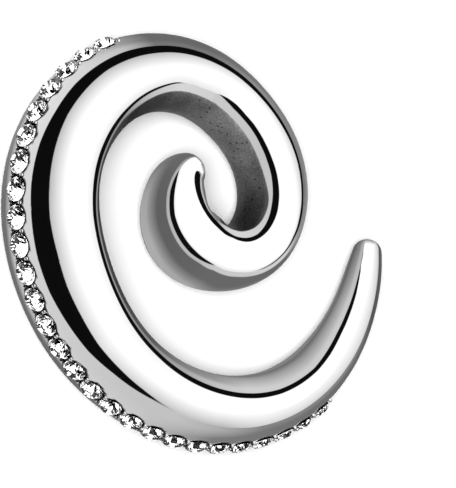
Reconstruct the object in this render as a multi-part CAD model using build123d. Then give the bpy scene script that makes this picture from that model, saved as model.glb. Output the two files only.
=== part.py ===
from build123d import *
import itertools
import math
import os

import numpy as np

# Spiral ear taper: a solid steel coil that lies on its side, with one row of
# cut stones set into its outer rim. Sizes are in millimetres.

# Coil
wear_width = 8.0      # the fattest section, across the coil: the part worn in the ear
wear_depth = 8.8      # the same section along the spiral's axis
reach = 18.1          # from the spiral's pole to the middle of the outermost turn
tip_direction = -7.9  # degrees, where the thin end lies as seen from the pole

# Stones and their seats
stone_count = 27
stone_width = 2.1     # across the girdle
table_width = 1.24    # across the corners of the flat top
crown_height = 0.40
girdle_height = 0.06
pavilion_depth = 0.85
stone_gap = 0.24      # bare steel between neighbouring girdles
seat_gap = 0.08       # clearance between a stone and its seat
stone_sink = 0.02     # middle of the girdle below the steel's surface
bare_tip = 16.2       # along the rim, from the thin end to the first stone
row_lift = 0.65       # the row's middle above the coil's middle plane
bead_width = 0.40     # raised beads of steel beside each gap between stones
bead_stand = 0.04     # centre of a bead above the steel's surface
bead_bite = 0.04      # how far a seat cuts into the beads beside it

# Sections along the coil. The turn is in degrees from the thin end inward, out is
# the section's middle as a share of reach, thick its size as a share of the fattest.
coil_rows = [
    {"turn": 4, "out": 0.886, "thick": 0.312},
    {"turn": 10, "out": 0.890, "thick": 0.381},
    {"turn": 20, "out": 0.905, "thick": 0.454},
    {"turn": 35, "out": 0.933, "thick": 0.551},
    {"turn": 60, "out": 0.974, "thick": 0.680},
    {"turn": 90, "out": 0.994, "thick": 0.813},
    {"turn": 120, "out": 1.004, "thick": 0.919},
    {"turn": 150, "out": 1.000, "thick": 1.000},
    {"turn": 165, "out": 0.998, "thick": 0.995},
    {"turn": 180, "out": 0.975, "thick": 0.969},
    {"turn": 195, "out": 0.916, "thick": 0.928},
    {"turn": 210, "out": 0.832, "thick": 0.880},
    {"turn": 240, "out": 0.630, "thick": 0.813},
    {"turn": 270, "out": 0.454, "thick": 0.767},
    {"turn": 300, "out": 0.359, "thick": 0.751},
    {"turn": 330, "out": 0.308, "thick": 0.742},
    {"turn": 360, "out": 0.280, "thick": 0.736},
    {"turn": 390, "out": 0.267, "thick": 0.720},
    {"turn": 420, "out": 0.264, "thick": 0.688},
    {"turn": 450, "out": 0.265, "thick": 0.730},
    {"turn": 480, "out": 0.279, "thick": 0.813},
    {"turn": 510, "out": 0.295, "thick": 0.764},
    {"turn": 535, "out": 0.284, "thick": 0.654},
    {"turn": 555, "out": 0.267, "thick": 0.538},
    {"turn": 570, "out": 0.239, "thick": 0.381},
]

section_step = 15     # degrees of turn between lofted sections
facet_count = 8       # main facets round a stone
star_share = 0.80     # where the crown's side corners lie, as a share of the girdle
lower_share = 0.30    # where the pavilion's side corners lie, as a share of the girdle

stone_radius = stone_width / 2
stone_pitch = stone_width + stone_gap
bead_radius = bead_width / 2
depth_to_width = wear_depth / wear_width
up = np.array([0.0, 0.0, 1.0])


def smooth_through(knots, values):
    """A curve through the values with no kink or jump in its bend."""
    step = np.diff(knots)
    rise = np.diff(values) / step
    count = len(knots)
    matrix = np.eye(count)
    change = np.zeros(count)
    for i in range(1, count - 1):
        matrix[i, i - 1 : i + 2] = step[i - 1], 2 * (step[i - 1] + step[i]), step[i]
        change[i] = 6 * (rise[i] - rise[i - 1])
    bend = np.linalg.solve(matrix, change)

    def value(at):
        i = int(np.clip(np.searchsorted(knots, at) - 1, 0, count - 2))
        before, after = (knots[i + 1] - at) / step[i], (at - knots[i]) / step[i]
        curved = (before**3 - before) * bend[i] + (after**3 - after) * bend[i + 1]
        return before * values[i] + after * values[i + 1] + curved * step[i] ** 2 / 6

    return value


row_turns = np.array([row["turn"] for row in coil_rows], float)
out_at = smooth_through(row_turns, np.array([row["out"] for row in coil_rows]) * reach)
half_width_at = smooth_through(
    row_turns, np.array([row["thick"] for row in coil_rows]) * wear_width / 2
)


def unit(vector):
    return vector / np.linalg.norm(vector)


def middle_at(turn):
    """The coil's middle line, in the spiral's own plane, with the pole at the origin."""
    angle = math.radians(tip_direction - turn)
    return out_at(turn) * np.array([math.cos(angle), math.sin(angle), 0.0])


def heading_at(turn, little=0.01):
    return unit(middle_at(turn + little) - middle_at(turn - little))


def outward_at(turn):
    return np.cross(up, heading_at(turn))


def slope_at(turn, little=0.01):
    """How fast the coil's half width grows along it."""
    path = np.linalg.norm(middle_at(turn + little) - middle_at(turn - little))
    return (half_width_at(turn + little) - half_width_at(turn - little)) / path


def section_plane(turn):
    middle, outward, heading = middle_at(turn), outward_at(turn), heading_at(turn)
    return Plane(origin=Vector(*middle), x_dir=Vector(*outward), z_dir=Vector(*heading))


def wall_at(turn, height):
    """A point on the coil's outer wall, that high above its middle plane."""
    half_width = half_width_at(turn)
    across = half_width * math.sqrt(1 - (height / (half_width * depth_to_width)) ** 2)
    return middle_at(turn) + outward_at(turn) * across + up * height


def wall_normal(turn, height, little=0.01):
    """The wall's outward direction there, square to the row that runs past it."""
    half_width = half_width_at(turn)
    across = (wall_at(turn, height) - middle_at(turn)) @ outward_at(turn)
    steep = up * height / depth_to_width**2
    along = unit(wall_at(turn + little, height) - wall_at(turn - little, height))
    normal = outward_at(turn) * across + steep
    return unit(normal - along * (normal @ along)), along


def round_end(turn, side):
    """A ball's cap that carries the taper on past the end section, on that side."""
    half_width, slope = half_width_at(turn), slope_at(turn)
    ball_radius = half_width * math.hypot(1, slope)
    centre = middle_at(turn) + heading_at(turn) * half_width * slope
    ball = Pos(*centre) * Sphere(ball_radius)
    return split(ball, bisect_by=section_plane(turn), keep=side)


def make_coil():
    first, last = row_turns[0], row_turns[-1]
    steps = round((last - first) / section_step)
    turns = np.linspace(first, last, steps + 1)
    rounds = [section_plane(turn) * Circle(half_width_at(turn)) for turn in turns]
    round_coil = loft(rounds)
    round_coil += round_end(first, Keep.BOTTOM)
    round_coil += round_end(last, Keep.TOP)
    return scale(round_coil, by=(1, 1, depth_to_width))


def ring(radius, height, count, shift=0.0):
    """Points round a stone's axis, the first turned by a share of their spacing."""
    angles = [2 * math.pi * (i + shift) / count for i in range(count)]
    return [(radius * math.cos(a), radius * math.sin(a), height) for a in angles]


def make_stone():
    """A round brilliant, its girdle's middle at the origin and its table up."""
    half_turn = math.cos(math.pi / facet_count)
    girdle_top, girdle_foot = girdle_height / 2, -girdle_height / 2
    table_radius = table_width / 2
    star_radius, lower_radius = star_share * stone_radius, lower_share * stone_radius
    # the side corners lie in the main facets' planes, which keeps each facet flat
    crown_slope = crown_height / (stone_radius - table_radius)
    star_height = girdle_top + crown_slope * (stone_radius - star_radius * half_turn)
    pavilion_slope = (pavilion_depth + girdle_foot) / stone_radius
    lower_height = pavilion_slope * lower_radius * half_turn - pavilion_depth
    table = ring(table_radius, girdle_top + crown_height, facet_count)
    star = ring(star_radius, star_height, facet_count, 0.5)
    top = ring(stone_radius, girdle_top, 2 * facet_count)
    foot = ring(stone_radius, girdle_foot, 2 * facet_count)
    lower = ring(lower_radius, lower_height, facet_count, 0.5)
    culet = (0, 0, -pavilion_depth)
    outlines = [table]
    for i in range(facet_count):
        j, g = (i + 1) % facet_count, 2 * i
        after, behind = (g + 1) % len(top), (g - 1) % len(top)
        outlines += [
            [table[i], star[i - 1], top[g], star[i]],
            [table[i], star[i], table[j]],
            [star[i], top[g], top[after]],
            [star[i - 1], top[behind], top[g]],
            [top[g], foot[g], foot[after], top[after]],
            [top[behind], foot[behind], foot[g], top[g]],
            [culet, lower[i - 1], foot[g], lower[i]],
            [lower[i], foot[g], foot[after]],
            [lower[i - 1], foot[behind], foot[g]],
        ]
    facets = [Face(Wire.make_polygon([Vector(*p) for p in o])) for o in outlines]
    return Solid(Shell(facets))


def make_seat():
    """What is cut from the steel for one stone: a round hole with a cone below."""
    seat_radius = stone_radius + seat_gap
    pavilion_slope = (pavilion_depth - girdle_height / 2) / stone_radius
    shift = seat_gap * math.hypot(1, pavilion_slope)
    apex = -pavilion_depth - shift
    shoulder = apex + pavilion_slope * seat_radius
    mouth = crown_height + girdle_height
    profile = Polyline(
        (0, 0, apex),
        (seat_radius, 0, shoulder),
        (seat_radius, 0, mouth),
        (0, 0, mouth),
        close=True,
    )
    return revolve(make_face(profile), Axis.Z)


# Places along the row, measured along the wall from the thin end
fine_turns = np.linspace(row_turns[0], row_turns[-1] / 2, 1500)
row_line = np.array([wall_at(turn, row_lift) for turn in fine_turns])
row_lengths = np.cumsum(np.linalg.norm(np.diff(row_line, axis=0), axis=1))
stone_lengths = bare_tip + stone_pitch * np.arange(stone_count)
bead_lengths = bare_tip + stone_pitch * (np.arange(stone_count + 1) - 0.5)
stone_turns = np.interp(stone_lengths, row_lengths, fine_turns[1:])
bead_turns = np.interp(bead_lengths, row_lengths, fine_turns[1:])


def place_on_wall(turn, height, stand):
    """A place that faces out of the coil's wall, that far above its surface."""
    normal, along = wall_normal(turn, height)
    middle = wall_at(turn, height) + normal * stand
    return Plane(
        origin=Vector(*middle), x_dir=Vector(*along), z_dir=Vector(*normal)
    ).location


def make_beads():
    """Two beads at each gap, one on each side of the row, that the seats cut into."""
    reach_over = stone_radius + seat_gap + bead_radius - bead_bite
    side = math.sqrt(max(reach_over**2 - (stone_pitch / 2) ** 2, 0))
    bead = Sphere(bead_radius)
    return [
        place_on_wall(turn, row_lift + height, bead_stand) * bead
        for turn in bead_turns
        for height in (-side, side)
    ]


def lying_frame(coil):
    """The flat surface that the coil comes to rest on, as a plane with its normal up."""
    turns = np.arange(row_turns[0], row_turns[-1], section_step)
    feet = np.array(
        [middle_at(t) - up * half_width_at(t) * depth_to_width for t in turns]
    )
    weight = np.array(tuple(coil.center(CenterOf.MASS)))
    best_height, best = -math.inf, None
    for three in itertools.combinations(feet, 3):
        normal = np.cross(three[1] - three[0], three[2] - three[0])
        if abs(normal[2]) < 1e-6:
            continue
        normal = unit(normal * math.copysign(1, normal[2]))
        under_weight = three[0][2] - normal[:2] @ (weight - three[0])[:2] / normal[2]
        clear = ((feet - three[0]) @ normal).min() > -1e-6
        if clear and under_weight > best_height:
            best_height, best = under_weight, (three[0], normal)
    origin, normal = best
    x_dir = unit(np.array([1.0, 0.0, 0.0]) - normal * normal[0])
    return Plane(origin=Vector(*origin), x_dir=Vector(*x_dir), z_dir=Vector(*normal))


coil = make_coil()
lying = lying_frame(coil).location.inverse()
seat = make_seat()
stone = make_stone()
places = [place_on_wall(turn, row_lift, -stone_sink) for turn in stone_turns]
coil += make_beads()
coil -= [place * seat for place in places]

pieces = {"spiral_body": lying * coil}
for number, place in enumerate(places, 1):
    pieces[f"stone_{number:02d}"] = lying * place * stone

# the origin is the middle of the whole piece's footprint, on the surface below it
extent = Compound(list(pieces.values())).bounding_box()
to_origin = Pos(-extent.center().X, -extent.center().Y, -extent.min.Z)
os.makedirs("parts", exist_ok=True)
for name, piece in pieces.items():
    export_step(to_origin * piece, f"parts/{name}.step")
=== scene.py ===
import math

import bmesh
import bpy
import numpy as np
from mathutils import Matrix, Vector


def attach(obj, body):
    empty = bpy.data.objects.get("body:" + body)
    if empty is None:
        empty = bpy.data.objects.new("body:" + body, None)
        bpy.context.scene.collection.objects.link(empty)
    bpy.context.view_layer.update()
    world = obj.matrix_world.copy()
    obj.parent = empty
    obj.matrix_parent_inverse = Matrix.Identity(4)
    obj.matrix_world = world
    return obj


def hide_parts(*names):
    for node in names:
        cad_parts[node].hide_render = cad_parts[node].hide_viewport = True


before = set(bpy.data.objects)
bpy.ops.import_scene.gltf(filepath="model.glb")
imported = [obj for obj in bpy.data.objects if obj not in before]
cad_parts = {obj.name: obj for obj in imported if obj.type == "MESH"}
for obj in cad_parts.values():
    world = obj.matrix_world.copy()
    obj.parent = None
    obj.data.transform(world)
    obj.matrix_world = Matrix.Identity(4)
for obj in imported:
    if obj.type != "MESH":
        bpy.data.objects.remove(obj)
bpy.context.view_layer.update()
millimetre = 0.001


# Small helpers


def clearSelection():
    if bpy.context.object and bpy.context.object.mode != "OBJECT":
        bpy.ops.object.mode_set(mode="OBJECT")
    bpy.ops.object.select_all(action="DESELECT")


def pickOnly(thing):
    clearSelection()
    thing.select_set(True)
    bpy.context.view_layer.objects.active = thing


def renamed(name):
    thing = bpy.context.object
    thing.name = name
    thing.data.name = name
    return thing


def newGroup(name, inputs, outputs):
    tree = bpy.data.node_groups.new(name, "ShaderNodeTree")
    for label, kind, value in inputs:
        socket = tree.interface.new_socket(label, in_out="INPUT", socket_type=kind)
        if value is not None:
            socket.default_value = value
    for label, kind in outputs:
        tree.interface.new_socket(label, in_out="OUTPUT", socket_type=kind)
    entry = tree.nodes.new("NodeGroupInput")
    leave = tree.nodes.new("NodeGroupOutput")
    return tree, entry, leave


def addNode(tree, kind, place=(0, 0), **settings):
    node = tree.nodes.new(kind)
    node.location = place
    for key, value in settings.items():
        setattr(node, key, value)
    return node


def join(tree, fromSocket, toSocket):
    tree.links.new(fromSocket, toSocket)


def mathNode(tree, operation, first, second=None, clamp=False):
    node = addNode(tree, "ShaderNodeMath", operation=operation, use_clamp=clamp)
    for slotNumber, value in enumerate((first, second)):
        if value is None:
            continue
        if isinstance(value, (int, float)):
            node.inputs[slotNumber].default_value = value
        else:
            join(tree, value, node.inputs[slotNumber])
    return node.outputs[0]


def softStep(tree, value, low, high, fromValue=0.0, toValue=1.0):
    node = addNode(tree, "ShaderNodeMapRange", interpolation_type="SMOOTHSTEP")
    join(tree, value, node.inputs["Value"])
    node.inputs["From Min"].default_value = low
    node.inputs["From Max"].default_value = high
    node.inputs["To Min"].default_value = fromValue
    node.inputs["To Max"].default_value = toValue
    return node.outputs["Result"]


def placeInFile(thing, bodyName="root", stands=()):
    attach(thing, bodyName)
    if stands:
        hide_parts(*stands)


# The coil's own measures, in millimetres from the spiral's pole

coil = {
    "fattestWidth": 8.0,
    "fattestDepth": 8.8,
    "reach": 18.1,
    "tipDirection": -7.9,
    "ringStep": 3.0,  # degrees of turn between drawn rings
    "ringCorners": 64,
    "capRings": 7,
    "capSpan": 88,  # degrees of the round end that its rings cover
    "smoothing": 1,  # subdivision levels
    "lieSide": (0.998734, 0.0, -0.050298),  # the spiral's own axes once it lies down
    "lieUp": (-0.000094, 0.999998, -0.001870),
    "lieAxis": (0.050298, 0.001872, 0.998732),
    "liePole": (2.7044, 3.7578, 3.5441),
}
sections = [  # turn in degrees, middle as a share of reach, size as a share of the fattest
    (4, 0.886, 0.312), (10, 0.890, 0.381), (20, 0.905, 0.454), (35, 0.933, 0.551),
    (60, 0.974, 0.680), (90, 0.994, 0.813), (120, 1.004, 0.919), (150, 1.000, 1.000),
    (165, 0.998, 0.995), (180, 0.975, 0.969), (195, 0.916, 0.928), (210, 0.832, 0.880),
    (240, 0.630, 0.813), (270, 0.454, 0.767), (300, 0.359, 0.751), (330, 0.308, 0.742),
    (360, 0.280, 0.736), (390, 0.267, 0.720), (420, 0.264, 0.688), (450, 0.265, 0.730),
    (480, 0.279, 0.813), (510, 0.295, 0.764), (535, 0.284, 0.654), (555, 0.267, 0.538),
    (570, 0.239, 0.381),
]
lieTurn = Matrix((coil["lieSide"], coil["lieUp"], coil["lieAxis"])).transposed()
liePole = Vector(coil["liePole"])
depthToWidth = coil["fattestDepth"] / coil["fattestWidth"]


def onFloor(point):
    return (lieTurn @ Vector(point) + liePole) * millimetre


def smoothThrough(knots, values):
    step, count = np.diff(knots), len(knots)
    rise = np.diff(values) / step
    matrix, change = np.eye(count), np.zeros(count)
    for i in range(1, count - 1):
        matrix[i, i - 1 : i + 2] = step[i - 1], 2 * (step[i - 1] + step[i]), step[i]
        change[i] = 6 * (rise[i] - rise[i - 1])
    bend = np.linalg.solve(matrix, change)

    def value(at):
        i = int(np.clip(np.searchsorted(knots, at) - 1, 0, count - 2))
        before, after = (knots[i + 1] - at) / step[i], (at - knots[i]) / step[i]
        curved = (before**3 - before) * bend[i] + (after**3 - after) * bend[i + 1]
        return before * values[i] + after * values[i + 1] + curved * step[i] ** 2 / 6

    return value


turnKnots = np.array([row[0] for row in sections], float)
outAt = smoothThrough(turnKnots, np.array([row[1] for row in sections]) * coil["reach"])
halfWidthAt = smoothThrough(
    turnKnots, np.array([row[2] for row in sections]) * coil["fattestWidth"] / 2
)


def middleAt(turn):
    angle = math.radians(coil["tipDirection"] - turn)
    return Vector((math.cos(angle), math.sin(angle), 0.0)) * float(outAt(turn))


def headingAt(turn, little=0.01):
    return (middleAt(turn + little) - middleAt(turn - little)).normalized()


def slopeAt(turn, little=0.01):
    path = (middleAt(turn + little) - middleAt(turn - little)).length
    return float(halfWidthAt(turn + little) - halfWidthAt(turn - little)) / path


def ringPlaces():
    first, last = turnKnots[0], turnKnots[-1]
    rings = []
    for turn, sign in ((first, -1), (last, 1)):  # round ends that carry the taper on
        halfWidth, slope, heading = float(halfWidthAt(turn)), slopeAt(turn), headingAt(turn)
        ballRadius = halfWidth * math.hypot(1, slope)
        centre = middleAt(turn) + heading * halfWidth * slope
        start = math.asin(sign * -slope * halfWidth / ballRadius)
        cap = []
        for i in range(1, coil["capRings"] + 1):
            angle = start + (math.radians(coil["capSpan"]) - start) * i / coil["capRings"]
            away = ballRadius * math.sin(angle) * sign
            cap.append((centre + heading * away, heading, ballRadius * math.cos(angle)))
        pole = centre + heading * ballRadius * sign
        if sign < 0:
            startPole, startCap = pole, cap[::-1]
        else:
            endPole, endCap = pole, cap
    steps = round((last - first) / coil["ringStep"])
    for turn in np.linspace(first, last, steps + 1):
        rings.append((middleAt(turn), headingAt(turn), float(halfWidthAt(turn))))
    return startPole, startCap + rings + endCap, endPole


def drawCoil():
    startPole, rings, endPole = ringPlaces()
    middle, heading, radius = rings[0]
    clearSelection()
    bpy.ops.mesh.primitive_circle_add(
        vertices=coil["ringCorners"], radius=radius, fill_type="TRIFAN",
        location=middle,
        rotation=(math.pi / 2, 0, math.atan2(heading.y, heading.x) + math.pi / 2),
    )
    body = renamed("coil_body")
    bpy.ops.object.transform_apply(location=True, rotation=True, scale=True)
    centre = min(body.data.vertices, key=lambda v: (v.co - middle).length)
    centre.co = startPole
    bpy.ops.object.mode_set(mode="EDIT")
    bpy.ops.mesh.select_mode(type="VERT")
    bpy.ops.mesh.select_all(action="DESELECT")
    bpy.ops.object.mode_set(mode="OBJECT")
    for vertex in body.data.vertices:
        vertex.select = (vertex.co - startPole).length > 1e-6
    for edge in body.data.edges:
        edge.select = all(body.data.vertices[i].select for i in edge.vertices)
    for face in body.data.polygons:
        face.select = False
    bpy.ops.object.mode_set(mode="EDIT")
    for newMiddle, newHeading, newRadius in rings[1:]:
        bpy.ops.mesh.extrude_edges_move(
            TRANSFORM_OT_translate={"value": newMiddle - middle}
        )
        turned = math.atan2(newHeading.y, newHeading.x) - math.atan2(heading.y, heading.x)
        turned = (turned + math.pi) % (2 * math.pi) - math.pi
        if abs(turned) > 1e-9:
            bpy.ops.transform.rotate(value=-turned, orient_axis="Z", center_override=newMiddle)
        size = newRadius / radius
        bpy.ops.transform.resize(value=(size, size, size), center_override=newMiddle)
        middle, heading, radius = newMiddle, newHeading, newRadius
    bpy.ops.mesh.extrude_edges_move(TRANSFORM_OT_translate={"value": endPole - middle})
    bpy.ops.mesh.merge(type="CENTER")
    bpy.ops.mesh.select_all(action="SELECT")
    bpy.ops.mesh.normals_make_consistent(inside=False)
    bpy.ops.transform.resize(value=(1, 1, depthToWidth), center_override=(0, 0, 0))
    bpy.ops.object.mode_set(mode="OBJECT")
    smooth = body.modifiers.new("roundOut", "SUBSURF")
    smooth.levels = smooth.render_levels = coil["smoothing"]
    bpy.ops.object.modifier_apply(modifier=smooth.name)
    return body


print("coil: drawing rings")
body = drawCoil()
print("coil:", len(body.data.vertices), "points")

# Seats and beads beside the stones, in millimetres

setting = {
    "stoneRadius": 1.05,
    "seatGap": 0.08,
    "darkRim": 0.03,  # how much wider the seat is cut, so its near-black wall, a painted shade, shows as a wider rim round a stone
    "rimShadeReach": 1.27,  # how far from a stone's middle the steel gets its painted shade
    "rimShadeFade": 0.06,
    "rimShadeHeight": 0.6,  # above or below the girdle
    "rimShadeTurns": (30, 62, 185, 215),  # the painted shade fades toward both ends of the row
    "rimShadeShares": (0.3, 1, 1, 0.35),
    "seatCorners": 48,
    "crownHeight": 0.40,
    "girdleHeight": 0.06,
    "pavilionDepth": 0.85,
    "beadRadius": 0.20,
    "beadStand": 0.04,
    "beadBite": 0.04,
    "beadTurns": 20,
    "beadRings": 12,
}


def stonePlaces():
    places = []
    for name in sorted(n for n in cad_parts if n.startswith("stone_")):
        corners = np.array([v.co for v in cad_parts[name].data.vertices], float)
        corners = np.unique(corners.round(7), axis=0)
        spread = corners - corners.mean(axis=0)
        axis = np.linalg.eigh(spread.T @ spread)[1][:, 0]  # a stone is flattest along its axis
        heights = spread @ axis
        if heights.max() > -heights.min():  # the culet is the farthest corner
            axis, heights = -axis, -heights
        culet = corners[np.argmin(heights)]
        girdle = culet + axis * setting["pavilionDepth"] * millimetre
        places.append((Vector(girdle), Vector(axis)))
    return places


def beadPlaces(places):
    reach = setting["stoneRadius"] + setting["seatGap"]
    reach += setting["beadRadius"] - setting["beadBite"]
    girdles = [girdle for girdle, axis in places]
    girdles = [2 * girdles[0] - girdles[1]] + girdles + [2 * girdles[-1] - girdles[-2]]
    spots = []
    for here, after in zip(girdles, girdles[1:]):
        along = after - here
        middle = (here + after) / 2
        found, surface, normal, face = body.closest_point_on_mesh(middle)
        across = normal.cross(along).normalized()
        side = math.sqrt(max((reach * millimetre) ** 2 - (along.length / 2) ** 2, 0))
        for sign in (-1, 1):
            beside = middle + across * side * sign
            found, surface, normal, face = body.closest_point_on_mesh(beside)
            spots.append((surface + normal * setting["beadStand"] * millimetre, normal))
    return spots


def copiesAt(pattern, spots, name):
    copies = []
    for spot, axis in spots:
        turned = axis.to_track_quat("Z", "X").to_matrix().to_4x4()
        mesh = pattern.data.copy()
        mesh.transform(Matrix.Translation(spot) @ turned)
        copy = bpy.data.objects.new(name, mesh)
        bpy.context.collection.objects.link(copy)
        copies.append(copy)
    bpy.data.objects.remove(pattern)
    clearSelection()
    for copy in copies:
        copy.select_set(True)
    bpy.context.view_layer.objects.active = copies[0]
    bpy.ops.object.join()
    return renamed(name)


def drawSeat():
    seatRadius = (setting["stoneRadius"] + setting["seatGap"] + setting["darkRim"]) * millimetre
    cone = setting["pavilionDepth"] - setting["girdleHeight"] / 2
    slope = cone / setting["stoneRadius"]
    apex = -(setting["pavilionDepth"] + setting["seatGap"] * math.hypot(1, slope)) * millimetre
    shoulder = apex + slope * seatRadius
    mouth = (setting["crownHeight"] + setting["girdleHeight"]) * millimetre
    clearSelection()
    bpy.ops.mesh.primitive_cylinder_add(
        vertices=setting["seatCorners"], radius=seatRadius, depth=mouth - shoulder,
        location=(0, 0, (mouth + shoulder) / 2), end_fill_type="NGON",
    )
    seat = renamed("seat_cutter")
    bpy.ops.object.transform_apply(location=True, rotation=False, scale=False)
    seat.data.materials.append(bareSteel)
    seat.data.materials.append(seatShadeSteel)
    bpy.ops.object.mode_set(mode="EDIT")
    bpy.ops.mesh.select_mode(type="FACE")
    bpy.ops.mesh.select_all(action="DESELECT")
    drawn = bmesh.from_edit_mesh(seat.data)
    for face in drawn.faces:
        face.select_set(face.normal.z < -0.9)
    bmesh.update_edit_mesh(seat.data)
    bpy.ops.mesh.extrude_region_move(TRANSFORM_OT_translate={"value": (0, 0, apex - shoulder)})
    bpy.ops.mesh.merge(type="CENTER")
    bpy.ops.object.mode_set(mode="OBJECT")
    for face in seat.data.polygons:  # only the upright wall gets the near-black seat steel, a painted shade of the gap round the stone
        face.material_index = 1 if abs(face.normal.z) < 0.1 else 0
    return seat


def drawBead():
    clearSelection()
    bpy.ops.mesh.primitive_uv_sphere_add(
        segments=setting["beadTurns"], ring_count=setting["beadRings"],
        radius=setting["beadRadius"] * millimetre,
    )
    bead = renamed("bead_grain")
    bead.data.materials.append(bareSteel)
    return bead


def cutOrAdd(thing, other, operation):
    pickOnly(thing)
    change = thing.modifiers.new(operation.lower(), "BOOLEAN")
    change.operation, change.object, change.solver = operation, other, "EXACT"
    change.material_mode = "TRANSFER"
    bpy.ops.object.modifier_apply(modifier=change.name)
    bpy.data.objects.remove(other)


bpy.ops.object.select_all(action="DESELECT")
placed = Matrix.Translation(liePole) @ lieTurn.to_4x4()
body.data.transform(Matrix.Scale(millimetre, 4) @ placed)

print("setting: beads and seats")
bareSteel = bpy.data.materials.new("mirror_steel")
seatShadeSteel = bpy.data.materials.new("seat_wall_painted_shade")
body.data.materials.append(bareSteel)
places = stonePlaces()
beads = copiesAt(drawBead(), beadPlaces(places), "bead_grains")
cutOrAdd(body, beads, "UNION")
print("setting: beads on,", len(body.data.polygons), "faces")
seats = copiesAt(drawSeat(), places, "seat_cutters")
cutOrAdd(body, seats, "DIFFERENCE")
print("setting: seats cut,", len(body.data.polygons), "faces")
pickOnly(body)
bpy.ops.object.shade_smooth_by_angle(angle=math.radians(38))
placeInFile(body, stands=("spiral_body",))


# Finishes

# Each row: turn, degrees round the section where the blasted inner wall starts
blastedRows = (
    (200, 130), (212, 127), (224, 124.5), (240, 128), (256, 132), (272, 135), (288, 138),
    (304, 140.5), (320, 140.5), (336, 138), (352, 135), (370, 134), (390, 134), (405, 135.5),
    (420, 139), (436, 141.5), (450, 140.5), (462, 136), (474, 131.5), (486, 128),
)
# Turn and shade: paler where the wall faces the light, darker in the curl
blastedShades = (
    (216, 0.08), (244, 0.34), (270, 0.41), (288, 0.40), (340, 0.19), (400, 0.05), (486, 0.05),
)


def gapsToStones():
    # how far each of the coil's points lies from the nearest stone's middle, in metres
    farOff = 9.0
    points = np.array([v.co for v in body.data.vertices])
    gaps = np.full(len(points), farOff)
    for girdle, axis in places:
        away = points - np.array(girdle)
        height = np.abs(away @ np.array(axis))
        beside = height < setting["rimShadeHeight"] * millimetre
        gaps = np.minimum(gaps, np.where(beside, np.linalg.norm(away, axis=1), farOff))
    return gaps


def markWalls():
    # each point's share along the coil, and how far past the blasted wall's edge it lies
    fineTurns = np.linspace(turnKnots[0], turnKnots[-1], 1200)
    middles = np.array([middleAt(t)[:2] for t in fineTurns])
    headings = np.array([headingAt(t)[:2] for t in fineTurns])
    widths = np.array([float(halfWidthAt(t)) for t in fineTurns])
    points = np.empty(len(body.data.vertices) * 3, np.float32)
    body.data.vertices.foreach_get("co", points)
    back = np.array(lieTurn.transposed())
    points = (points.reshape(-1, 3) / millimetre - np.array(liePole)) @ back.T
    nearest = np.concatenate([
        ((part[:, None, :2] - middles[None]) ** 2).sum(2).argmin(1)
        for part in np.array_split(points, len(points) // 4000 + 1)
    ])
    turns = fineTurns[nearest]
    outward = np.stack([-headings[:, 1], headings[:, 0]], 1)[nearest]
    across = ((points[:, :2] - middles[nearest]) * outward).sum(1) / widths[nearest]
    height = points[:, 2] / (widths[nearest] * depthToWidth)
    around = np.degrees(np.arctan2(np.abs(height), across))
    edgeTurns, starts = zip(*blastedRows)
    edge = smoothThrough(np.array(edgeTurns, float), np.array(starts, float))
    edges = np.array([float(edge(t)) for t in np.clip(fineTurns, edgeTurns[0], edgeTurns[-1])])
    # painted shade round each stone: full near the seat's mouth, fading outward, and weaker toward
    # the row's ends
    reached = setting["rimShadeReach"] - gapsToStones() / millimetre
    rimShade = np.clip(reached / setting["rimShadeFade"], 0, 1)
    marks = {
        "alongCoil": turns / turnKnots[-1],
        "pastBlastEdge": around - edges[nearest],
        "blastShade": np.interp(turns, *zip(*blastedShades)),
        "paintedRimShade": rimShade * np.interp(turns, setting["rimShadeTurns"], setting["rimShadeShares"]),
    }
    for label, values in marks.items():
        layer = body.data.attributes.new(label, "FLOAT", "POINT")
        layer.data.foreach_set("value", values.astype(np.float32))


markWalls()
body.data.update()


def buildGrain():
    # the fine tooth and small pits of steel that was blasted and not polished
    tree, entry, leave = newGroup(
        "blasted_grain",
        (("Vector", "NodeSocketVector", None), ("Scale", "NodeSocketFloat", 9000.0),
         ("Pits", "NodeSocketFloat", 0.4)),
        (("Height", "NodeSocketFloat"), ("Pit", "NodeSocketFloat"), ("Cloud", "NodeSocketFloat")),
    )
    grain = addNode(tree, "ShaderNodeTexNoise")
    grain.inputs["Detail"].default_value = 3
    grain.inputs["Roughness"].default_value = 0.65
    join(tree, entry.outputs["Vector"], grain.inputs["Vector"])
    join(tree, entry.outputs["Scale"], grain.inputs["Scale"])
    pits = addNode(tree, "ShaderNodeTexVoronoi")
    join(tree, entry.outputs["Vector"], pits.inputs["Vector"])
    join(tree, mathNode(tree, "MULTIPLY", entry.outputs["Scale"], 0.45), pits.inputs["Scale"])
    picked = addNode(tree, "ShaderNodeSeparateColor")
    join(tree, pits.outputs["Color"], picked.inputs["Color"])
    few = mathNode(tree, "LESS_THAN", picked.outputs["Red"], entry.outputs["Pits"])
    hollow = softStep(tree, pits.outputs["Distance"], 0.10, 0.42, 1.0, 0.0)
    pit = mathNode(tree, "MULTIPLY", few, hollow)
    cloud = addNode(tree, "ShaderNodeTexNoise")
    cloud.inputs["Detail"].default_value = 2
    join(tree, entry.outputs["Vector"], cloud.inputs["Vector"])
    join(tree, mathNode(tree, "MULTIPLY", entry.outputs["Scale"], 0.06), cloud.inputs["Scale"])
    height = mathNode(tree, "SUBTRACT", grain.outputs["Fac"], pit)
    join(tree, height, leave.inputs["Height"])
    join(tree, pit, leave.inputs["Pit"])
    join(tree, cloud.outputs["Fac"], leave.inputs["Cloud"])
    return tree


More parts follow.
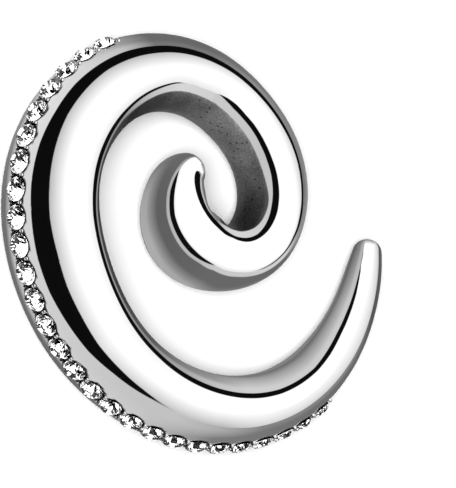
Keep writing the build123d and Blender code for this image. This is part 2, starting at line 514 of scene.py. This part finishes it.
def buildWear():
    # faint hairlines and smears that handling leaves on a polish
    tree, entry, leave = newGroup(
        "handling_wear",
        (("Vector", "NodeSocketVector", None), ("Scale", "NodeSocketFloat", 300.0),
         ("Amount", "NodeSocketFloat", 0.3)),
        (("Smear", "NodeSocketFloat"), ("Height", "NodeSocketFloat")),
    )
    smear = addNode(tree, "ShaderNodeTexNoise")
    smear.inputs["Detail"].default_value = 4
    smear.inputs["Distortion"].default_value = 0.6
    join(tree, entry.outputs["Vector"], smear.inputs["Vector"])
    join(tree, entry.outputs["Scale"], smear.inputs["Scale"])
    spread = softStep(tree, smear.outputs["Fac"], 0.42, 0.78)
    join(tree, mathNode(tree, "MULTIPLY", spread, entry.outputs["Amount"]), leave.inputs["Smear"])
    stretch = addNode(tree, "ShaderNodeMapping", vector_type="POINT")
    stretch.inputs["Rotation"].default_value = (0.3, 0.2, 0.9)
    stretch.inputs["Scale"].default_value = (14, 1, 5)
    join(tree, entry.outputs["Vector"], stretch.inputs["Vector"])
    hair = addNode(tree, "ShaderNodeTexNoise")
    hair.inputs["Detail"].default_value = 2
    join(tree, stretch.outputs["Vector"], hair.inputs["Vector"])
    join(tree, mathNode(tree, "MULTIPLY", entry.outputs["Scale"], 2.5), hair.inputs["Scale"])
    line = softStep(tree, hair.outputs["Fac"], 0.60, 0.72)
    join(tree, mathNode(tree, "MULTIPLY", line, entry.outputs["Amount"]), leave.inputs["Height"])
    return tree


def mixColours(tree, factor, first, second):
    node = addNode(tree, "ShaderNodeMix", data_type="RGBA")
    join(tree, factor, node.inputs["Factor"])
    for name, value in (("A", first), ("B", second)):
        socket = [s for s in node.inputs if s.name == name and s.type == "RGBA"][0]
        if isinstance(value, tuple):
            socket.default_value = (*value, 1)
        else:
            join(tree, value, socket)
    return [s for s in node.outputs if s.type == "RGBA"][0]


def mixNumbers(tree, factor, first, second):
    node = addNode(tree, "ShaderNodeMix", data_type="FLOAT")
    join(tree, factor, node.inputs["Factor"])
    for name, value in (("A", first), ("B", second)):
        if isinstance(value, (int, float)):
            node.inputs[name].default_value = value
        else:
            join(tree, value, node.inputs[name])
    return node.outputs["Result"]


def newMaterial(name):
    material = bpy.data.materials.get(name) or bpy.data.materials.new(name)
    material.use_nodes = True
    return material, material.node_tree, material.node_tree.nodes["Principled BSDF"]


def useGroup(tree, group, **values):
    node = addNode(tree, "ShaderNodeGroup", node_tree=group)
    for key, value in values.items():
        if isinstance(value, (int, float)):
            node.inputs[key].default_value = value
        else:
            join(tree, value, node.inputs[key])
    return node.outputs


blastedGrain = buildGrain()
handlingWear = buildWear()

steelLook = {
    "polish": (0.90, 0.90, 0.905),
    "polishRoughness": 0.025,
    "smearRoughness": 0.05,
    "blastedRoughness": 0.34,
    "rimShadeDarkness": 0.97,  # how dark the painted shade makes the steel right round the stones
    "blastedFrom": 0.36,  # shares of the coil's length where the blasted inner wall lies
    "blastedTo": 0.845,
    "grainDepth": 0.00002,
    "hairDepth": 0.0000006,
    "seatShadeTones": (0.010, 0.030),
    "foil": 0.97,
}


def makeSteel():
    tree, shader = newMaterial("mirror_steel")[1:]
    place = addNode(tree, "ShaderNodeTexCoord").outputs["Object"]
    past = addNode(tree, "ShaderNodeAttribute", attribute_name="pastBlastEdge").outputs["Fac"]
    shade = addNode(tree, "ShaderNodeAttribute", attribute_name="blastShade").outputs["Fac"]
    along = addNode(tree, "ShaderNodeAttribute", attribute_name="alongCoil").outputs["Fac"]
    grain = useGroup(tree, blastedGrain, Vector=place, Scale=7000.0, Pits=0.16)
    wear = useGroup(tree, handlingWear, Vector=place, Scale=260.0, Amount=0.5)
    wall = softStep(tree, past, -1.0, 1.0)
    since = softStep(tree, along, steelLook["blastedFrom"] - 0.02, steelLook["blastedFrom"])
    until = softStep(tree, along, steelLook["blastedTo"], steelLook["blastedTo"] + 0.02, 1.0, 0.0)
    blasted = mathNode(tree, "MULTIPLY", wall, mathNode(tree, "MULTIPLY", since, until))
    cloudy = mathNode(tree, "MULTIPLY", softStep(tree, grain["Cloud"], 0.25, 0.75, 0.75, 1.3),
                      softStep(tree, grain["Height"], 0.3, 0.7, 0.7, 1.4))
    pitted = mathNode(tree, "SUBTRACT", 1.0, mathNode(tree, "MULTIPLY", grain["Pit"], 0.7))
    # the blasted wall's colour: painted shade along the coil (blastShade) times its own cloudy
    # grain and pits
    level = mathNode(tree, "MULTIPLY", mathNode(tree, "MULTIPLY", shade, cloudy), pitted)
    tinted = addNode(tree, "ShaderNodeCombineColor")
    for channel in ("Red", "Green", "Blue"):
        join(tree, level, tinted.inputs[channel])
    tint = tinted.outputs["Color"]
    finish = mixColours(tree, blasted, steelLook["polish"], tint)
    # painted shade: the steel darkens to near black in a ring round each stone's seat
    rim = addNode(tree, "ShaderNodeAttribute", attribute_name="paintedRimShade").outputs["Fac"]
    shadedRim = mathNode(tree, "MULTIPLY", softStep(tree, rim, 0.35, 0.9), steelLook["rimShadeDarkness"])
    join(tree, mixColours(tree, shadedRim, finish, (0.01, 0.01, 0.01)), shader.inputs["Base Color"])
    shader.inputs["Metallic"].default_value = 1.0
    polished = mathNode(tree, "ADD", steelLook["polishRoughness"],
                        mathNode(tree, "MULTIPLY", wear["Smear"], steelLook["smearRoughness"]))
    join(tree, mixNumbers(tree, blasted, polished, steelLook["blastedRoughness"]),
         shader.inputs["Roughness"])
    fine = addNode(tree, "ShaderNodeBump")
    fine.inputs["Distance"].default_value = steelLook["hairDepth"]
    join(tree, wear["Height"], fine.inputs["Height"])
    coarse = addNode(tree, "ShaderNodeBump")
    coarse.inputs["Distance"].default_value = steelLook["grainDepth"]
    join(tree, blasted, coarse.inputs["Strength"])
    join(tree, grain["Height"], coarse.inputs["Height"])
    join(tree, fine.outputs["Normal"], coarse.inputs["Normal"])
    join(tree, coarse.outputs["Normal"], shader.inputs["Normal"])


def makeSeatSteel():
    tree, shader = newMaterial("seat_wall_painted_shade")[1:]
    place = addNode(tree, "ShaderNodeTexCoord").outputs["Object"]
    grain = useGroup(tree, blastedGrain, Vector=place, Scale=16000.0, Pits=0.3)
    # near-black seat wall: painted shade of the gap round each stone, with a faint grain
    darker, paler = steelLook["seatShadeTones"]
    join(tree, mixColours(tree, grain["Cloud"], (darker,) * 3, (paler,) * 3),
         shader.inputs["Base Color"])
    shader.inputs["Metallic"].default_value = 0.0
    shader.inputs["Roughness"].default_value = 0.6
    shader.inputs["Specular IOR Level"].default_value = 0.1


def makeGlass():
    material, tree, shader = newMaterial("stone_glass")
    place = addNode(tree, "ShaderNodeTexCoord").outputs["Object"]
    wear = useGroup(tree, handlingWear, Vector=place, Scale=900.0, Amount=0.25)
    shader.inputs["Base Color"].default_value = (1, 1, 1, 1)
    shader.inputs["IOR"].default_value = 1.5
    shader.inputs["Transmission Weight"].default_value = 1.0
    join(tree, mathNode(tree, "MULTIPLY", wear["Smear"], 0.04), shader.inputs["Roughness"])
    return material


def makeFoil():
    # the bright backing under a stone's lower facets
    material, tree, shader = newMaterial("stone_backing")
    shader.inputs["Base Color"].default_value = (*(steelLook["foil"],) * 3, 1)
    shader.inputs["Metallic"].default_value = 1.0
    shader.inputs["Roughness"].default_value = 0.0
    return material


makeSteel()
makeSeatSteel()
glass, foil = makeGlass(), makeFoil()
print("finishes: coil has", [m.name for m in body.data.materials])
for number, (girdle, axis) in enumerate(places, 1):
    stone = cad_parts[f"stone_{number:02d}"]
    stone.data.materials.clear()
    stone.data.materials.append(glass)
    stone.data.materials.append(foil)
    for face in stone.data.polygons:
        below = (face.center - girdle).dot(axis) < -0.04 * millimetre
        face.material_index = 1 if below else 0


# Camera, floor and light

shot = {
    "aimed": (-3.574, -3.404, 0.0),  # millimetres from the spiral's pole
    "turn": -36.15,
    "rise": -5.39,
    "distance": 356.1,
    "focalPixels": 4184.0,
    "shiftedRight": 38.0,  # the picture's middle from that point, in pixels
    "shiftedDown": 4.0,
    "tall": 488,
}
turnAngle, riseAngle = math.radians(shot["turn"]), math.radians(shot["rise"])
level = math.cos(riseAngle)
towards = Vector((math.sin(turnAngle) * level, math.sin(riseAngle), math.cos(turnAngle) * level))
rightward = Vector((0, 1, 0)).cross(towards).normalized()
upward = towards.cross(rightward)
looking = (
    rightward * shot["shiftedRight"] - upward * shot["shiftedDown"] - towards * shot["focalPixels"]
).normalized()
pictureRight = (rightward - looking * rightward.dot(looking)).normalized()
pictureUp = pictureRight.cross(looking)
stand = Vector(shot["aimed"]) + towards * shot["distance"]
bpy.ops.object.camera_add(location=onFloor(stand))
camera = renamed("camera")
camera.rotation_euler = (
    lieTurn @ Matrix((pictureRight, pictureUp, -looking)).transposed()
).to_euler()
camera.data.sensor_fit = "VERTICAL"
camera.data.sensor_height = 36
camera.data.lens = shot["focalPixels"] * 36 / shot["tall"]
camera.data.clip_start = 0.01
camera.data.clip_end = 10
bpy.context.scene.camera = camera


def seenFrom(right, up, front):
    # a direction given as the camera sees it
    return (lieTurn @ (pictureRight * right + pictureUp * up - looking * front)).normalized()


print("floor and camera")
ground = {"size": 4, "shade": 0.92, "roughness": 0.8}
bpy.ops.mesh.primitive_plane_add(size=ground["size"], location=(0, 0, 0))
floor = renamed("floor")
floorFinish, floorTree, floorShader = newMaterial("pale_floor")
floorShader.inputs["Base Color"].default_value = (*(ground["shade"],) * 3, 1)
floorShader.inputs["Roughness"].default_value = ground["roughness"]
floor.data.materials.append(floorFinish)
floor.visible_glossy = False
floor.visible_transmission = False


cards = {
    "turnStep": 2.0,  # degrees of turn between a card's rows
    "capTurns": 8,  # this much turn past either end runs over the round cap
    "capLean": 80,
    "black": 0.004,
    "whiteTurns": (-0.8, 1.4, 567, 571),  # the white fades out over the caps
    "whiteTones": (0.2, 1.12, 1.12, 0.2),
    "onwardTurns": (10, 25, 545, 560),  # degrees that the white runs on past its fade
    "onwardSpans": (36, 14, 14, 36),
}


def wallAt(turn, around):
    # a point on the coil and the way it faces; around is 0 outward and 90 on the flat side
    onCoil = min(max(turn, turnKnots[0]), turnKnots[-1])
    heading, angle = headingAt(onCoil), math.radians(around)
    outward = Vector((0, 0, 1)).cross(heading)
    halfWidth, slope = float(halfWidthAt(onCoil)), slopeAt(onCoil)
    ballRadius = halfWidth * math.hypot(1, slope)
    lean, capLean = math.atan(-slope), math.radians(cards["capLean"])
    overCap = min(abs(turn - onCoil) / cards["capTurns"], 1)
    lean += (math.copysign(capLean, turn - onCoil) - lean) * overCap
    centre = middleAt(onCoil) + heading * halfWidth * slope
    facing = outward * math.cos(angle) * math.cos(lean) + heading * math.sin(lean)
    point = centre + facing * ballRadius
    point.z += ballRadius * math.cos(lean) * depthToWidth * math.sin(angle)
    facing.z += math.cos(lean) * math.sin(angle) / depthToWidth
    return point, facing.normalized()


def tonesAt(turn, tones):
    turns = [row[0] for row in tones["rows"]]
    found = {
        label: float(np.interp(turn, turns, [row[column] for row in tones["rows"]]))
        for column, label in enumerate(tones["names"], 1)
    }
    found["white"] = float(np.interp(turn, cards["whiteTurns"], cards["whiteTones"]))
    found["line"] = found["after"] + (cards["black"] - found["after"]) * found["line"]
    for label in ("before", "after", "near"):
        found[label] = min(found.get(label, 0), found["white"])
    return found


def edgesAt(turn, low, high, fade, found):
    onward = float(np.interp(turn, cards["onwardTurns"], cards["onwardSpans"]))
    edges = {"low": low, "high": high, "fade": high + fade, "top": high + fade + onward}
    for label in ("band", "farAt", "rimAt"):
        edges[label] = low - found.get(label, 0)
    edges["strip"] = high + found.get("strip", 0)
    return edges


def drawRibbon(name, rows, tones, rails):
    # a curved card that stands just where the coil mirrors it; each rail is an edge of the
    # row, how far past it in degrees, and its tone; away is how far off the steel it stands
    turns = np.arange(rows[0][0], rows[-1][0], cards["turnStep"])
    knots = [row[0] for row in rows]
    rows = np.array([np.interp(turns, knots, column) for column in zip(*rows)]).T
    clearSelection()
    bpy.ops.mesh.primitive_grid_add(
        x_subdivisions=len(rails) - 1, y_subdivisions=len(rows) - 1, size=1
    )
    ribbon = renamed(name)
    tone = ribbon.data.attributes.new("tone", "FLOAT", "POINT")
    spots = sorted(ribbon.data.vertices, key=lambda v: (round(v.co.y, 5), v.co.x))
    turnedAway = 0
    for number, vertex in enumerate(spots):
        turn, low, high, fade = map(float, rows[number // len(rails)])
        found = tonesAt(turn, tones)
        edge, past, shade = rails[number % len(rails)]
        past *= found["soft"] if edge in ("band", "strip") else 1
        point, facing = wallAt(turn, edgesAt(turn, low, high, fade, found)[edge] + past)
        seen = (point - stand).normalized()
        bounced = seen - facing * 2 * seen.dot(facing)
        vertex.co = onFloor(point + bounced * found["away"])
        tone.data[vertex.index].value = found[shade]
        if number % len(rails) == len(rails) // 2:
            turnedAway += vertex.normal.dot(lieTurn @ bounced)
    if turnedAway > 0:  # its lit side looks at the steel
        pickOnly(ribbon)
        bpy.ops.object.mode_set(mode="EDIT")
        bpy.ops.mesh.select_all(action="SELECT")
        bpy.ops.mesh.flip_normals()
        bpy.ops.object.mode_set(mode="OBJECT")
    return ribbon


def lightRibbon(ribbon):
    # it glows by its tone on one side, and only mirror reflections see it
    material, tree, shader = newMaterial(ribbon.name)
    shader.inputs["Base Color"].default_value = (0, 0, 0, 1)
    shader.inputs["Specular IOR Level"].default_value = 0
    shader.inputs["Roughness"].default_value = 1
    shader.inputs["Emission Strength"].default_value = 1
    glow = addNode(tree, "ShaderNodeAttribute", attribute_name="tone").outputs["Fac"]
    grey = addNode(tree, "ShaderNodeCombineColor")
    for channel in ("Red", "Green", "Blue"):
        join(tree, glow, grey.inputs[channel])
    join(tree, grey.outputs["Color"], shader.inputs["Emission Color"])
    side = addNode(tree, "ShaderNodeNewGeometry").outputs["Backfacing"]
    join(tree, mathNode(tree, "SUBTRACT", 1.0, side), shader.inputs["Alpha"])
    ribbon.data.materials.append(material)
    ribbon.visible_camera = ribbon.visible_diffuse = ribbon.visible_shadow = False
    ribbon.visible_transmission = ribbon.visible_volume_scatter = False


print("reflections: drawing the ribbons")
# Each row: turn, where the dark line starts and ends round the section, and how wide it fades
outwardRows = (
    (-4, 82, 82, 26), (4, 80, 80, 26), (12, 77, 77, 28), (20, 74, 74, 30), (32, 71, 71, 30),
    (44, 70, 70, 27),
    (56, 68, 68, 24), (68, 65, 65, 23), (80, 62, 62, 22), (92, 61, 61, 22), (100, 61, 61, 21),
    (106, 61, 61.5, 20), (112, 59, 62, 19), (116, 56, 62, 18), (124, 50, 60, 17), (132, 42, 57, 17),
    (140, 37, 56, 17), (148, 32, 54, 17), (156, 30, 54, 17), (164, 30, 52, 18), (172, 30, 52, 18),
    (180, 32, 52, 18), (188, 36, 52, 18), (196, 38, 54, 18), (204, 42, 56, 19), (212, 46, 60, 20),
    (220, 51, 64, 20), (228, 55, 67, 18), (236, 59, 70, 15), (244, 62, 72, 13), (252, 64, 73, 12),
    (260, 65, 74, 10), (276, 66.5, 74.5, 9), (292, 68, 75.5, 12), (308, 69.5, 76, 15),
    (324, 70, 76, 15), (340, 69.5, 75.5, 12), (348, 68.5, 74.5, 10), (356, 66.5, 73.5, 9),
    (364, 65, 72, 8), (372, 64, 70, 8), (380, 63.5, 68.5, 7), (388, 62, 66, 6), (396, 60.5, 64, 5),
    (408, 59, 62.5, 5), (420, 59, 61.5, 5), (432, 60, 60.5, 6), (448, 61, 61, 6), (464, 60, 60, 6),
    (472, 60, 60, 5), (478, 56.5, 59.5, 5), (484, 53.5, 58.5, 4), (492, 49.5, 57, 4),
    (500, 47, 55, 4),
    (508, 45, 53, 4), (516, 43, 51, 4), (532, 43, 51, 4), (540, 45, 51, 4), (548, 48, 49, 5),
    (560, 50, 50, 6), (578, 52, 52, 6),
)
outwardTones = {
    "names": ("away", "line", "rimAt", "farAt", "band", "soft", "rim", "far", "near", "after"),
    "rows": (
        (-4, 2, 0, 42, 28, 9, 3, 0.2, 0.15, 0.1, 0.6),
        (12, 2.5, 0, 42, 28, 9, 3, 0.25, 0.12, 0.1, 0.65),
        (24, 4, 0, 42, 28, 9, 3, 0.3, 0.1, 0.1, 0.7),
        (40, 9, 0, 42, 28, 9, 3, 0.2, 0.15, 0.25, 0.75),
        (76, 9, 0, 42, 28, 9, 4, 0.2, 0.2, 0.25, 0.75),
        (90, 9, 0, 52, 38, 15, 8, 0.2, 0.22, 0.45, 0.55),
        (104, 9, 0, 56, 42, 22, 10, 0.2, 0.5, 0.6, 0.62),
        (112, 9, 1, 56, 42, 22, 10, 0.2, 0.65, 0.6, 0.65),
        (130, 9, 1, 52, 38, 18, 8, 0.15, 0.7, 0.65, 0.8),
        (170, 9, 1, 42, 26, 12, 6, 0.18, 0.8, 0.75, 0.55),
        (188, 9, 1, 48, 30, 12, 5, 0.3, 0.85, 0.8, 0.6),
        (200, 9, 1, 48, 30, 12, 5, 0.7, 0.8, 0.75, 0.6),
        (212, 9, 1, 48, 30, 12, 5, 0.35, 0.4, 0.6, 0.55),
        (222, 9, 1, 42, 28, 9, 4, 0.15, 0.15, 0.2, 0.55),
        (240, 9, 1, 42, 28, 9, 4, 0.2, 0.15, 0.2, 0.75),
        (264, 9, 1, 42, 28, 9, 3, 0.3, 0.2, 0.3, 0.9),
        (300, 9, 1, 42, 28, 9, 3, 0.3, 0.25, 0.25, 0.75),
        (336, 9, 1, 42, 28, 9, 3, 0.3, 0.3, 0.2, 0.75),
        (372, 8, 1, 42, 28, 9, 3, 0.3, 0.3, 0.3, 0.9),
        (396, 5, 1, 42, 28, 9, 1, 0.3, 0.15, 0.7, 1),
        (422, 3, 0.8, 46, 26, 9, 1, 0.3, 0.15, 0.7, 1),
        (432, 3, 0, 50, 30, 9, 1, 0.25, 0.15, 0.65, 0.9),
        (456, 3, 0, 60, 36, 9, 1, 0.25, 0.15, 0.65, 0.9),
        (472, 3, 0, 58, 30, 8, 1, 0.4, 0.15, 0.65, 0.9),
        (475, 3, 1, 56, 29, 8, 1, 0.41, 0.15, 0.62, 0.9),
        (484, 3, 1, 52, 26, 5, 1, 0.42, 0.14, 0.55, 1),
        (504, 3, 1, 47, 22, 5, 1, 0.46, 0.13, 0.55, 1),
        (530, 2.5, 1, 47, 22, 5, 1, 0.40, 0.13, 0.5, 1),
        (546, 2.5, 1, 42, 22, 5, 1, 0.25, 0.14, 0.5, 1),
        (551, 2, 0, 42, 22, 5, 1, 0.2, 0.15, 0.4, 1),
        (578, 2, 0, 42, 22, 4, 1, 0.2, 0.15, 0.25, 1),
    ),
}
lightRibbon(drawRibbon("outward_ribbon", outwardRows, outwardTones, (
    ("rimAt", -25, "rim"), ("rimAt", 0, "rim"), ("farAt", 0, "far"), ("band", -1, "far"),
    ("band", 1, "near"), ("low", -0.4, "near"), ("low", 0.4, "line"), ("high", -0.4, "line"),
    ("high", 0.4, "after"), ("fade", 0, "white"), ("top", 0, "white"),
)))
inwardRows = (
    (-4, 148, 148, 4), (3, 145, 145.5, 4), (7, 141, 143.5, 4), (12, 138, 142, 4),
    (20, 132.5, 140.5, 4),
    (28, 129, 138.5, 4),
    (36, 125, 134.5, 4), (44, 118.5, 128, 4), (52, 113.5, 121.5, 4), (60, 111, 119.5, 4),
    (68, 109, 117.5, 4),
    (76, 108.5, 117.5, 4), (84, 109, 118, 4), (100, 110.5, 120, 4), (116, 112, 121, 4),
    (132, 111, 119, 4),
    (148, 111, 118.5, 4), (164, 111.5, 120, 4), (172, 113, 123, 4), (180, 114, 125, 4),
    (188, 115, 125, 4), (196, 115, 123, 4), (204, 115, 120.5, 4), (212, 113.5, 118, 4),
    (220, 112, 115.5, 4), (227, 110.5, 112.5, 4), (233, 113, 113, 4), (240, 116, 116, 4),
    (247, 116, 116, 4), (250, 114, 115.5, 4),
    (254, 113, 118, 4), (260, 113, 121, 4), (268, 115, 122.5, 4), (276, 115.5, 123.5, 4),
    (284, 117, 125, 4), (292, 118.5, 127, 4), (300, 119.5, 128, 4), (308, 120, 129, 4),
    (332, 119.5, 129.5, 4), (340, 119, 129.5, 4), (356, 118, 129, 4), (364, 117, 128.5, 4),
    (380, 116, 126.5, 4), (396, 115, 124.5, 4), (412, 115, 123, 4), (436, 115.5, 124.5, 4),
    (444, 116, 124.5, 4), (460, 115.5, 122.5, 4), (476, 111, 120.5, 4), (492, 110.5, 121, 4),
    (508, 108.5, 121, 4), (516, 106.5, 119.5, 4), (524, 102, 117.5, 4), (532, 96, 113, 4),
    (540, 90, 107, 4), (548, 84, 103, 4), (553, 81, 101, 4), (557, 81, 99, 4), (560, 88, 98, 4),
    (564, 103, 103, 4), (578, 103, 103, 4),
)
inwardTones = {
    "names": ("away", "line", "strip", "soft", "before", "after", "next", "far"),
    "rows": (
        (-4, 3, 0, 8, 8, 1.12, 0.4, 0.22, 0.12), (3, 3, 0, 8, 8, 1.12, 0.45, 0.25, 0.12),
        (7, 3, 1, 8, 8, 1.12, 0.5, 0.3, 0.12), (24, 3, 1, 8, 8, 1.12, 0.65, 0.5, 0.16),
        (80, 3, 1, 8, 8, 1.12, 0.7, 0.6, 0.2),
        (92, 3, 1, 8, 8, 1.12, 0.6, 0.35, 0.2), (104, 3, 1, 7, 7, 1.1, 0.45, 0.25, 0.2),
        (120, 3, 1, 4, 3, 1, 0.3, 0.12, 0.08), (140, 3, 1, 3, 2, 1, 0.35, 0.06, 0.06),
        (200, 3, 1, 4, 2, 0.9, 0.3, 0.05, 0.1), (216, 2.5, 1, 8, 4, 0.9, 0.6, 0.3, 0.1),
        (228, 2.2, 1, 11, 3, 0.95, 0.75, 0.25, 0.2), (231, 2.1, 0, 11, 4, 0.9, 0.75, 0.25, 0.2),
        (246, 1.8, 0, 12, 4, 0.9, 0.7, 0.3, 0.25), (248, 1.7, 0, 13, 3, 0.9, 0.65, 0.3, 0.25),
        (250, 1.6, 1, 13, 2, 1, 0.65, 0.3, 0.25), (256, 1.6, 1, 13, 2, 1.12, 0.65, 0.3, 0.25),
        (300, 1, 1, 13, 2, 1.12, 0.6, 0.3, 0.25),
        (340, 0.8, 1, 9, 2, 1.12, 0.62, 0.25, 0.2), (400, 0.6, 1, 12, 2, 1.12, 0.68, 0.25, 0.2),
        (444, 0.5, 1, 17, 2, 1.12, 0.75, 0.25, 0.2), (470, 0.4, 1, 12, 2, 1.12, 0.7, 0.25, 0.15),
        (484, 0.5, 1, 5, 3, 1.12, 0.6, 0.2, 0.1), (496, 0.5, 1, 4, 3, 1.12, 0.25, 0.2, 0.1),
        (512, 0.5, 1, 4, 3, 1.12, 0.4, 0.2, 0.1), (530, 0.8, 1, 5, 4, 1.12, 0.6, 0.2, 0.1),
        (558, 1, 1, 5, 4, 1.12, 0.6, 0.2, 0.1), (561, 1, 0, 4, 3, 1.12, 0.6, 0.2, 0.1),
        (576, 1, 0, 4, 3, 1.12, 0.6, 0.2, 0.1),
    ),
}
lightRibbon(drawRibbon("inward_ribbon", inwardRows, inwardTones, (
    ("low", -26, "white"), ("low", -12, "white"), ("low", -0.4, "before"), ("low", 0.4, "line"),
    ("high", -0.4, "line"), ("high", 0.4, "after"), ("strip", 0, "after"), ("strip", 1, "next"),
    ("high", 44, "far"), ("high", 52, "far"),
)))

studio = {
    "lampMiddle": (0.85, 0.04, 0.53),  # as the camera sees it: right, up, towards it
    "lamp": 1.12,
    "dark": 0.004,
    "edgeSoftness": 0.9,  # degrees
    # round the lamp: place as a share of a turn, the lamp's edge and the dark gap's, in degrees
    "edges": (
        (0.0, 51, 65), (0.083, 50, 62), (0.153, 41, 53), (0.22, 42, 50), (0.26, 48, 48),
        (0.38, 58, 58), (0.42, 58, 60), (0.458, 55, 67), (0.5, 51, 66), (0.57, 50, 65),
        (0.64, 52, 69),
        (0.71, 53, 69), (0.75, 52, 66), (0.81, 47, 62), (0.875, 48, 64), (0.94, 50, 66),
        (1.0, 51, 65),
    ),
    "nearGrey": 0.60,
    "farGrey": 0.24,
    "greySpread": 45,  # degrees
    "floorLight": 0.40,
    "sparkScale": 1.7,  # how finely the stones' light is broken up
    "sparkDark": 0.42,  # share of it that is dark
    "sparkLight": 2.0,
    "sun": 3.7,
    "sunSpread": 26,  # degrees
}
print("studio: world and sun")
world = bpy.data.worlds.new("studio")
bpy.context.scene.world = world
world.use_nodes = True
tree = world.node_tree
tree.nodes.clear()
coordinate = addNode(tree, "ShaderNodeTexCoord")


def leanTo(direction):
    node = addNode(tree, "ShaderNodeVectorMath", operation="DOT_PRODUCT")
    join(tree, coordinate.outputs["Generated"], node.inputs[0])
    node.inputs[1].default_value = direction
    return node.outputs["Value"]


def edgeCurve(column):
    node = addNode(tree, "ShaderNodeFloatCurve")
    curve = node.mapping.curves[0]
    stops = [(row[0], row[column] / 180) for row in studio["edges"]]
    curve.points[0].location, curve.points[1].location = stops[0], stops[-1]
    for stop in stops[1:-1]:
        curve.points.new(*stop)
    node.mapping.update()
    join(tree, share, node.inputs["Value"])
    return mathNode(tree, "MULTIPLY", node.outputs["Value"], 180.0)


lampMiddle = Vector(studio["lampMiddle"]).normalized()
over = (Vector((0, 1, 0)) - lampMiddle * lampMiddle.y).normalized()
beside = over.cross(lampMiddle)
fromLamp = mathNode(tree, "ARCCOSINE", leanTo(seenFrom(*lampMiddle)))
degreesAway = mathNode(tree, "MULTIPLY", fromLamp, 180 / math.pi)
roundLamp = mathNode(tree, "ARCTAN2", leanTo(seenFrom(*over)), leanTo(seenFrom(*beside)))
share = mathNode(tree, "MULTIPLY_ADD", roundLamp, 0.5 / math.pi)
share.node.inputs[2].default_value = 0.5
pastLamp = mathNode(tree, "SUBTRACT", degreesAway, edgeCurve(1))
pastDark = mathNode(tree, "SUBTRACT", degreesAway, edgeCurve(2))
soft = studio["edgeSoftness"]
lampPart = softStep(tree, pastLamp, -soft, soft, studio["lamp"], 0.0)
wallPart = softStep(tree, pastDark, -soft, soft)
wallShade = softStep(tree, pastDark, 0, studio["greySpread"], studio["nearGrey"], studio["farGrey"])
wall = mathNode(tree, "MULTIPLY", wallPart, wallShade)
total = mathNode(tree, "ADD", mathNode(tree, "ADD", lampPart, wall), studio["dark"])
cells = addNode(tree, "ShaderNodeTexVoronoi")
cells.inputs["Scale"].default_value = studio["sparkScale"]
join(tree, coordinate.outputs["Generated"], cells.inputs["Vector"])
cellParts = addNode(tree, "ShaderNodeSeparateColor")
join(tree, cells.outputs["Color"], cellParts.inputs["Color"])
lit = mathNode(tree, "GREATER_THAN", cellParts.outputs["Red"], studio["sparkDark"])
spark = mathNode(tree, "MULTIPLY", lit, studio["sparkLight"])
rays = addNode(tree, "ShaderNodeLightPath")
inSteel = mixNumbers(tree, rays.outputs["Is Glossy Ray"], studio["floorLight"], total)
shown = mixNumbers(tree, rays.outputs["Is Transmission Ray"], inSteel, spark)
background = addNode(tree, "ShaderNodeBackground")
background.inputs["Color"].default_value = (1, 1, 1, 1)
join(tree, shown, background.inputs["Strength"])
worldOut = addNode(tree, "ShaderNodeOutputWorld")
join(tree, background.outputs["Background"], worldOut.inputs["Surface"])
bpy.context.scene.view_settings.view_transform = "Standard"
bpy.ops.object.light_add(type="SUN", rotation=camera.rotation_euler)
sun = renamed("soft_light")
sun.data.energy = studio["sun"]
sun.data.angle = math.radians(studio["sunSpread"])
sun.visible_glossy = sun.visible_transmission = False
